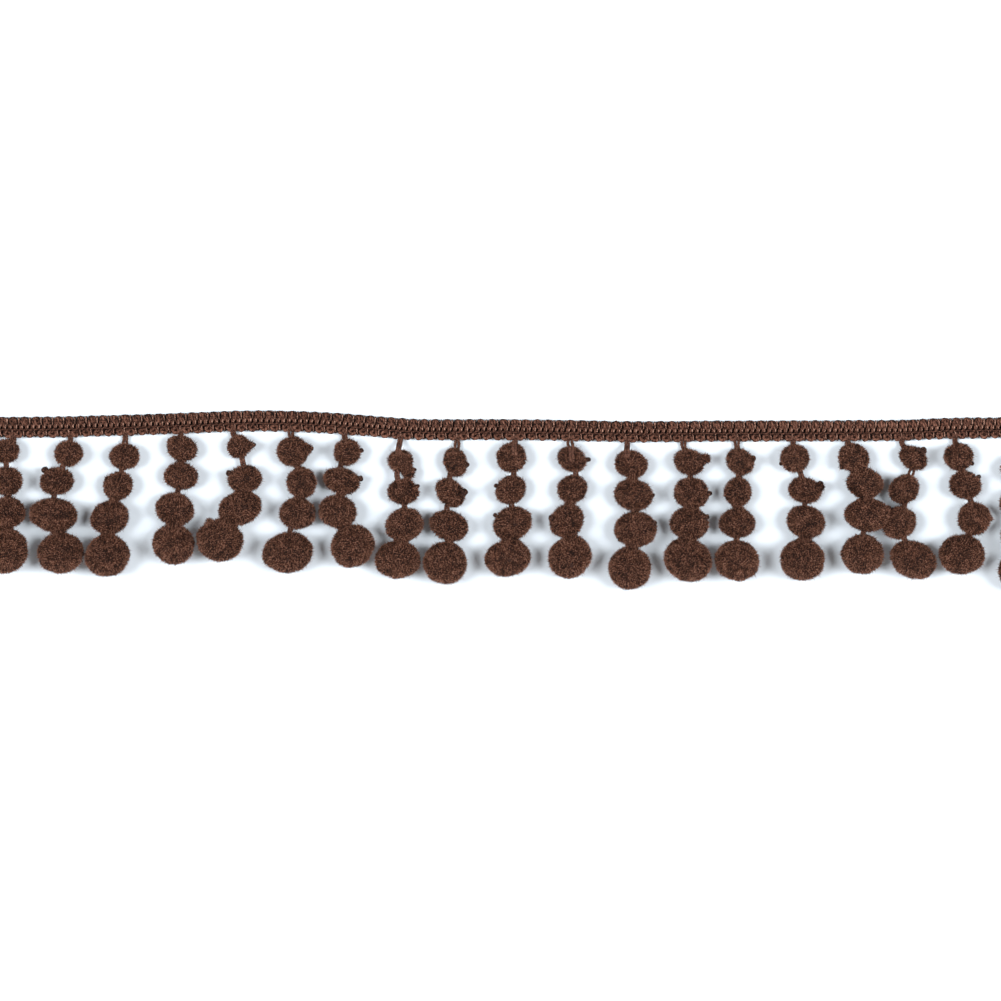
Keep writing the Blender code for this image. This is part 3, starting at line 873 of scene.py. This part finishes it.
def heart_mesh(name, number, drop):
    """The drop's four firm balls and their loose tufts, merged into one skin."""
    bm = bmesh.new()
    for pompom in drop.pompoms:
        add_ball(bm, lambda ways: heart_points(pompom, drop, ways), 5)
    for tuft in TUFTS:
        if tuft.drop == number and not tuft.tied:
            add_ball(bm, lambda ways: lump_points(tuft, ways), 3)
    mesh = bpy.data.meshes.new(name)
    bm.to_mesh(mesh)
    bm.free()
    piece = show(name, mesh)
    skin = piece.modifiers.new("skin", "REMESH")
    skin.mode = "VOXEL"
    skin.voxel_size = HEART_CELL * MM
    skin.use_smooth_shade = True
    graph = bpy.context.evaluated_depsgraph_get()
    merged = bpy.data.meshes.new_from_object(piece.evaluated_get(graph), depsgraph=graph)
    bpy.data.objects.remove(piece)
    return merged


def pile_tree():
    """Stands small pointed tufts all over a heart, except where they would reach into the table."""
    tree = bpy.data.node_groups.new("cut pile", "GeometryNodeTree")
    face = tree.interface
    face.new_socket("Heart", in_out="INPUT", socket_type="NodeSocketGeometry")
    for name in ("Spacing", "Width", "Length", "Sink", "Lean", "Clumps", "Bunches", "Partings", "Stray spacing",
                 "Stray width", "Stray length", "Floor"):
        face.new_socket(name, in_out="INPUT", socket_type="NodeSocketFloat")
    face.new_socket("Seed", in_out="INPUT", socket_type="NodeSocketInt")
    face.new_socket("Material", in_out="INPUT", socket_type="NodeSocketMaterial")
    face.new_socket("Pompoms", in_out="OUTPUT", socket_type="NodeSocketGeometry")
    given = tree.nodes.new("NodeGroupInput").outputs
    spot = tree.nodes.new("GeometryNodeInputPosition").outputs[0]

    def keep(geometry, name, domain, value):
        return step(tree, "GeometryNodeStoreNamedAttribute",
                    {"Geometry": geometry, "Name": name, "Value": value},
                    data_type="FLOAT", domain=domain).outputs[0]

    def random(kind, low, high, offset):
        sockets = {"FLOAT_VECTOR": (0, 1, 0), "FLOAT": (2, 3, 1)}[kind]
        seed = sums(tree, "ADD", given["Seed"], offset)
        made = step(tree, "FunctionNodeRandomValue", {sockets[0]: low, sockets[1]: high, "Seed": seed},
                    data_type=kind)
        return made.outputs[sockets[2]]

    def patches(scale):
        return step(tree, "ShaderNodeTexNoise", {"Vector": spot, "Scale": scale, "Detail": 1.0}).outputs

    def between(value, low, high, least, most):
        return step(tree, "ShaderNodeMapRange", {"Value": value, "From Min": low, "From Max": high,
                                                 "To Min": least, "To Max": most}).outputs[0]

    swirl = vectors(tree, "SUBTRACT", patches(given["Clumps"])["Color"], (0.5, 0.5, 0.5))
    together = vectors(tree, "SCALE", swirl, Scale=2.4)
    height = step(tree, "ShaderNodeSeparateXYZ", {0: spot}).outputs[2]
    facing = tree.nodes.new("GeometryNodeInputNormal").outputs[0]
    upward = step(tree, "ShaderNodeSeparateXYZ", {0: facing}).outputs[2]
    packed = between(upward, -0.6, -0.1, 0.3, 1.0)
    bunch = patches(given["Bunches"])["Fac"]
    parted = between(patches(given["Partings"])["Fac"], 0.64, 0.72, 0.0, 1.0)
    grown_long = sums(tree, "MULTIPLY_ADD", parted, -0.3, between(bunch, 0.36, 0.64, 0.78, 1.16))
    # Longer bunches are coloured lighter and partings darker: painted shade where the pile is short and deep.
    bunch_tone_and_parting_shade = sums(tree, "MULTIPLY_ADD", parted, -0.3, sums(tree, "MULTIPLY_ADD", bunch, 0.35, 0.32))

    def planted(spacing, width, length, sink, loose, painted_rim_light, first):
        """Pointed tufts on even points, each with its own lean, turn, size and tone."""
        stood = step(tree, "GeometryNodeDistributePointsOnFaces",
                     {"Mesh": given["Heart"], "Distance Min": spacing, "Density Max": 9.0e6,
                      "Density Factor": packed, "Seed": sums(tree, "ADD", given["Seed"], first)},
                     distribute_method="POISSON").outputs
        up = step(tree, "ShaderNodeSeparateXYZ", {0: stood["Normal"]}).outputs[2]
        clear = sums(tree, "GREATER_THAN", sums(tree, "MULTIPLY_ADD", up, length, height), given["Floor"])
        cone = step(tree, "GeometryNodeMeshCone",
                    {"Vertices": 3, "Side Segments": 1, "Fill Segments": 1, "Radius Top": 0.0,
                     "Radius Bottom": sums(tree, "MULTIPLY", width, 0.5), "Depth": length},
                    fill_type="NGON").outputs[0]
        tip = sums(tree, "DIVIDE", height, length)
        sunk = step(tree, "ShaderNodeCombineXYZ", {"Z": sums(tree, "MULTIPLY", sink, -1.0)}).outputs[0]
        tuft = step(tree, "GeometryNodeTransform",
                    {"Geometry": keep(cone, "tip", "POINT", tip), "Translation": sunk}).outputs[0]
        apart = vectors(tree, "SCALE", random("FLOAT_VECTOR", (-1.0,) * 3, (1.0,) * 3, first + 1), Scale=loose)
        spread = vectors(tree, "SCALE", vectors(tree, "ADD", together, apart), Scale=given["Lean"])
        lean = vectors(tree, "ADD", stood["Normal"], spread)
        aligned = step(tree, "FunctionNodeAlignRotationToVector", {"Vector": lean}, axis="Z").outputs[0]
        spin = step(tree, "ShaderNodeCombineXYZ", {"Z": random("FLOAT", 0.0, math.tau, first + 2)}).outputs[0]
        turned = step(tree, "FunctionNodeRotateRotation", {"Rotation": aligned, "Rotate By": spin},
                      rotation_space="LOCAL").outputs[0]
        size = step(tree, "ShaderNodeCombineXYZ",
                    {"X": random("FLOAT", 0.75, 1.2, first + 3), "Y": random("FLOAT", 0.75, 1.2, first + 4),
                     "Z": sums(tree, "MULTIPLY", random("FLOAT", 0.7, 1.2, first + 5), grown_long)}).outputs[0]
        tufts = step(tree, "GeometryNodeInstanceOnPoints",
                     {"Points": stood["Points"], "Selection": clear, "Instance": tuft, "Rotation": turned,
                      "Scale": size}).outputs[0]
        own = sums(tree, "MULTIPLY_ADD", random("FLOAT", -0.5, 0.5, first + 6), 0.85, painted_rim_light)
        return keep(tufts, "shade", "INSTANCE", sums(tree, "ADD", own, bunch_tone_and_parting_shade))

    shaded = planted(given["Spacing"], given["Width"], given["Length"], given["Sink"],
                     loose=0.8, painted_rim_light=0.0, first=0)
    # Strays are coloured lighter: a painted rim light along the pompoms' outlines.
    stray = planted(given["Stray spacing"], given["Stray width"], given["Stray length"], given["Sink"],
                    loose=1.2, painted_rim_light=0.3, first=10)
    # The heart takes a root's low tip and a dark tone: painted shade where it shows between the tufts.
    heart = keep(keep(given["Heart"], "tip", "POINT", 0.1), "shade", "POINT", 0.3)
    both = step(tree, "GeometryNodeJoinGeometry", {})
    tree.links.new(shaded, both.inputs[0])
    tree.links.new(stray, both.inputs[0])
    tree.links.new(heart, both.inputs[0])
    real = step(tree, "GeometryNodeRealizeInstances", {"Geometry": both.outputs[0]}).outputs[0]
    plan = vectors(tree, "MULTIPLY", spot, (1.0, 1.0, 0.0))
    least = sums(tree, "MAXIMUM", height, given["Floor"])
    clear_up = step(tree, "ShaderNodeCombineXYZ", {"Z": least}).outputs[0]
    bent = step(tree, "GeometryNodeSetPosition",
                {"Geometry": real, "Position": vectors(tree, "ADD", plan, clear_up)}).outputs[0]
    soft = step(tree, "GeometryNodeSetShadeSmooth", {"Geometry": bent}).outputs[0]
    done = step(tree, "GeometryNodeSetMaterial", {"Geometry": soft, "Material": given["Material"]}).outputs[0]
    tree.links.new(done, tree.nodes.new("NodeGroupOutput").inputs[0])
    return tree


def pile_tone_and_painted_shade(tree):
    """Painted shade that darkens each tuft towards its root, and a tone of its own for every tuft."""
    tip = step(tree, "ShaderNodeAttribute", {}, attribute_name="tip").outputs["Fac"]
    shade = step(tree, "ShaderNodeAttribute", {}, attribute_name="shade").outputs["Fac"]
    return sums(tree, "MULTIPLY_ADD", tip, 0.6, sums(tree, "MULTIPLY_ADD", shade, 0.8, -0.74))


PILE_TREE = pile_tree()
pile_finish = fibre_finish("pompom pile", (0.006, 0.0016, 0.0006), (0.081, 0.0245, 0.0095),
                           (0.385, 0.176, 0.113), fine=2100.0, broad=260.0, contrast=4.0, bump=0.5,
                           place=object_place, lift=pile_tone_and_painted_shade)
for number, drop in enumerate(DROPS, 1):
    name = f"drop_{number:02d}"
    heart = show(f"{name}_heart", heart_mesh(f"{name}_heart", number, drop))
    grown_mesh = grown(heart, PILE_TREE, {
        "Spacing": TUFT_SPACING * MM, "Width": TUFT_WIDTH * MM, "Length": TUFT_LENGTH * MM,
        "Sink": TUFT_SINK * MM, "Lean": TUFT_LEAN, "Clumps": CLUMPS, "Bunches": BUNCHES, "Partings": PARTINGS,
        "Stray spacing": STRAY_SPACING * MM, "Stray width": STRAY_WIDTH * MM, "Stray length": STRAY_LENGTH * MM,
        "Floor": PILE_FLOOR * MM, "Seed": number, "Material": pile_finish,
    })
    pompoms = show(f"{name}_pompoms", grown_mesh)
    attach(pompoms, "root")
    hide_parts(name)


# The tie knots
#
# The yarn that ties a pompom is knotted at its side, and on many of them the knot has worked out of the pile. It
# is the pile's own yarn, wound tight and so darker, and it sits at the pompom's edge or on its face.

KNOT_YARN = 0.5
KNOT_SIZE = 3.0
KNOT_TURNS = 3.5
KNOT_POINTS = 25
KNOT_LEAST = 0.6
KNOT_TILT = 0.6
KNOT_RISE = 0.9
KNOT_RISE_RATE = 0.45
KNOT_ROOT = 1.5
KNOT_DIVE = 0.8
KNOT_TURNED = 1.7


def tie_knot(tuft, turn):
    """The path of one knot: out of the pompom, a few turns wound into a ball, and back in."""
    centre = tuft_middle(tuft)
    share = max(tuft.size / KNOT_SIZE, KNOT_LEAST)
    size = tuft.size / 2 - KNOT_YARN * share
    home = middle(DROPS[tuft.drop - 1].pompoms[tuft.ball - 1])
    inside = centre + (home - centre).normalized() * (tuft.size / 2 + KNOT_ROOT)
    tilt = Matrix.Rotation(turn, 3, "Z") @ Matrix.Rotation(KNOT_TILT, 3, "X")
    points = [inside]
    for k in range(KNOT_POINTS):
        t = math.tau * k / KNOT_POINTS * KNOT_TURNS
        rise = KNOT_RISE * math.sin(t * KNOT_RISE_RATE)
        loop = Vector((math.cos(t) * math.cos(rise), math.sin(t) * math.cos(rise), math.sin(rise)))
        points.append(centre + tilt @ loop * size)
    points.append(inside + Vector((0.0, 0.0, -KNOT_DIVE)))
    return Path(points, [share] * len(points))


knot_finish = fibre_finish("tie yarn", (0.001, 0.0004, 0.0002), (0.014, 0.0045, 0.0025), (0.15, 0.066, 0.043),
                           fine=1.6, broad=0.8, contrast=3.4, bump=0.6, place=along_yarn, lift=ply_painted_light_and_shade)
tied = [tuft for tuft in TUFTS if tuft.tied]
knots = show("tie_knots", laid_yarn([tie_knot(tuft, 1.0 + KNOT_TURNED * i) for i, tuft in enumerate(tied)],
                                    radius=KNOT_YARN, spacing=0.4, sides=6, twist=5.0, ply_depth=0.14,
                                    finish=knot_finish))
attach(knots, "root")


# The table
#
# A plain white sheet, wider than any view of the trim. It isn't part of the object.

FLOOR_HALF = 6.0
FLOOR_UNDER = 0.02


def plain_floor():
    """A pale, matt sheet just under the trim."""
    bm = bmesh.new()
    bmesh.ops.create_grid(bm, x_segments=1, y_segments=1, size=FLOOR_HALF)
    bmesh.ops.translate(bm, vec=(0, 0, -FLOOR_UNDER * MM), verts=bm.verts)
    mesh = bpy.data.meshes.new("floor")
    bm.to_mesh(mesh)
    bm.free()
    finish = bpy.data.materials.new("pale floor")
    finish.use_nodes = True
    shader = finish.node_tree.nodes["Principled BSDF"]
    shader.inputs["Base Color"].default_value = (0.77, 0.78, 0.79, 1.0)
    shader.inputs["Roughness"].default_value = 0.9
    shader.inputs["Specular IOR Level"].default_value = 0.1
    return show("floor", mesh, finish)


plain_floor()


# The light and the camera
#
# Two soft lamps stand to the left and right of the trim, a faint one above it and a weaker one low in front, and
# a pale room fills in. The camera looks straight down, as the photographer did.

LAMP_HEIGHT = 54.5
LAMP_SPREAD = 27.0
LAMP_POWER = 3.2
TOP_SPREAD = 30.0
TOP_POWER = 0.1
FRONT_TURN = 79.0
FRONT_SPREAD = 30.0
FRONT_POWER = 1.4
LAMP_COLOUR = (0.85, 0.93, 1.0)
ROOM_LOW = 0.36
ROOM_HIGH = 0.02
ROOM_COLOUR = (1.0, 0.88, 0.83, 1.0)
CAMERA_HEIGHT = 1.5
PICTURE_WIDTH = 450.45
POMPOM_LEVEL = 8.0


def add_lamp(name, power, spread, turn, tilt=0.0):
    """A soft, distant lamp, turned from overhead to the side and tilted to the front."""
    lamp = bpy.data.lights.new(name, "SUN")
    lamp.energy = power
    lamp.angle = math.radians(spread)
    lamp.color = LAMP_COLOUR
    holder = bpy.data.objects.new(name, lamp)
    holder.rotation_euler = (math.radians(tilt), math.radians(turn), 0.0)
    bpy.context.scene.collection.objects.link(holder)


add_lamp("left lamp", LAMP_POWER, LAMP_SPREAD, LAMP_HEIGHT - 90)
add_lamp("right lamp", LAMP_POWER, LAMP_SPREAD, 90 - LAMP_HEIGHT)
add_lamp("top lamp", TOP_POWER, TOP_SPREAD, 0.0)
add_lamp("front lamp", FRONT_POWER, FRONT_SPREAD, 0.0, FRONT_TURN)
room = bpy.data.worlds.new("white room")
room.use_nodes = True
walls = room.node_tree
sky = step(walls, "ShaderNodeTexCoord", {}).outputs["Generated"]
upward = step(walls, "ShaderNodeSeparateXYZ", {0: sky}).outputs[2]
glow = step(walls, "ShaderNodeMapRange", {"Value": upward, "From Min": 0.5, "From Max": 0.8, "To Min": ROOM_LOW,
                                          "To Max": ROOM_HIGH}).outputs[0]
walls.nodes["Background"].inputs["Color"].default_value = ROOM_COLOUR
walls.links.new(glow, walls.nodes["Background"].inputs["Strength"])
bpy.context.scene.world = room
bpy.context.scene.view_settings.view_transform = "Standard"

camera = bpy.data.cameras.new("camera")
camera.sensor_width = 36.0
camera.lens = 36.0 * (CAMERA_HEIGHT / MM - POMPOM_LEVEL) / PICTURE_WIDTH
camera_holder = bpy.data.objects.new("camera", camera)
camera_holder.location = (0.0, 0.0, CAMERA_HEIGHT)
bpy.context.scene.collection.objects.link(camera_holder)
bpy.context.scene.camera = camera_holder
